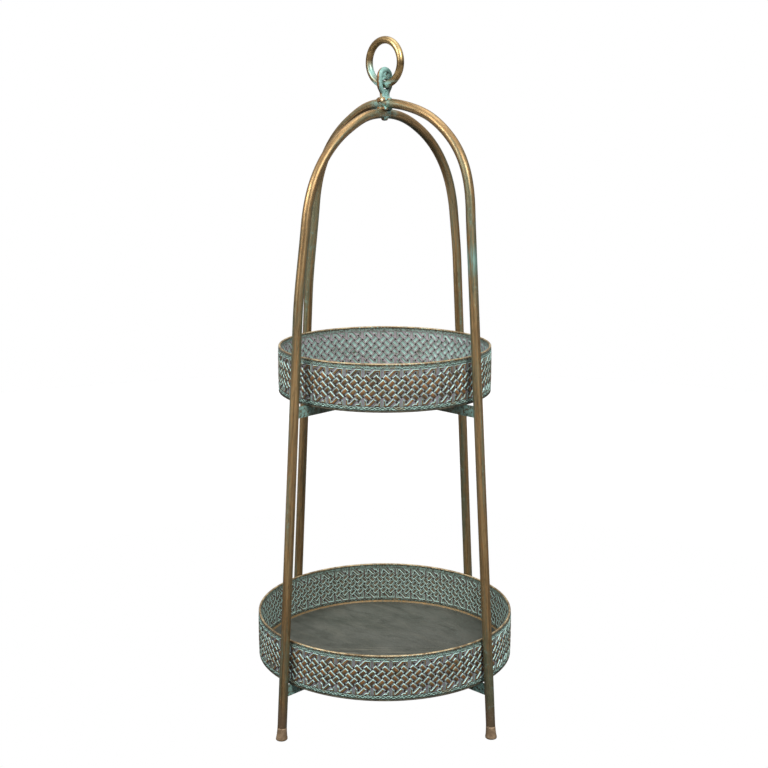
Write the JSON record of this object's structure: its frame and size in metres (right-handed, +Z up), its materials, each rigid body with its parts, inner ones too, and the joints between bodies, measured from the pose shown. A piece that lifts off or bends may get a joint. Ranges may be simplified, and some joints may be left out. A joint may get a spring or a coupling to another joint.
{
  "type": "tiered cake stand",
  "caption": "Tall aged-bronze tube stand with crossed bent arches, round pressed-lattice trays one above the other, and a lifting ring in an eye on top.",
  "frame": {"origin": "on the floor, at the middle of the feet", "axes": "+Z up the stand; the upper arch lies nearly along X, its +X leg at the front right, and the lower arch nearly along Y, its -Y leg at the front left"},
  "size_m": [0.317, 0.317, 0.7192],
  "materials": {
    "bronze_tube": "aged bronze paint over steel tube, worn, with faint verdigris streaks",
    "foot_bronze": "brown aged bronze, satin",
    "verdigris_eye": "bronze under heavy pale verdigris",
    "ring_bronze": "rubbed bronze with golden highlights, verdigris at the bottom",
    "cross_bar": "dark bronze, dull, verdigris at the ends",
    "tray_floor": "mottled dark grey-green sheet, brushed and stained",
    "tray_hem": "dark aged bronze, dull",
    "pressed_strip": "pressed strip in brown bronze, with verdigris on the raised edges and a dull grey ground",
    "rim_brass": "worn brass-brown wire"
  },
  "bodies": {
    "frame": {"upper_arch": "bronze_tube", "lower_arch": "bronze_tube", "top_eye": "verdigris_eye", "eye_cap_nut": "verdigris_eye", "foot_cap_front_right": "foot_bronze", "foot_cap_back_left": "foot_bronze", "foot_cap_back_right": "foot_bronze", "foot_cap_front_left": "foot_bronze", "lower_cross_bar_x": "cross_bar", "lower_cross_bar_y": "cross_bar", "upper_cross_bar_x": "cross_bar", "upper_cross_bar_y": "cross_bar", "lower_pan": "tray_floor", "lower_base_ring": "tray_hem", "lower_gallery": "pressed_strip", "lower_rim_wire": "rim_brass", "upper_pan": "tray_floor", "upper_base_ring": "tray_hem", "upper_gallery": "pressed_strip", "upper_rim_wire": "rim_brass"},
    "ring": {"hanging_ring": "ring_bronze"}
  },
  "joints": [
    {"name": "ring_swing", "type": "hinge", "parent": "frame", "child": "ring", "pos_m": [-0.003, 0.003, 0.6709], "axis": [1, 0, 0], "range_deg": [-122, 122]}
  ]
}
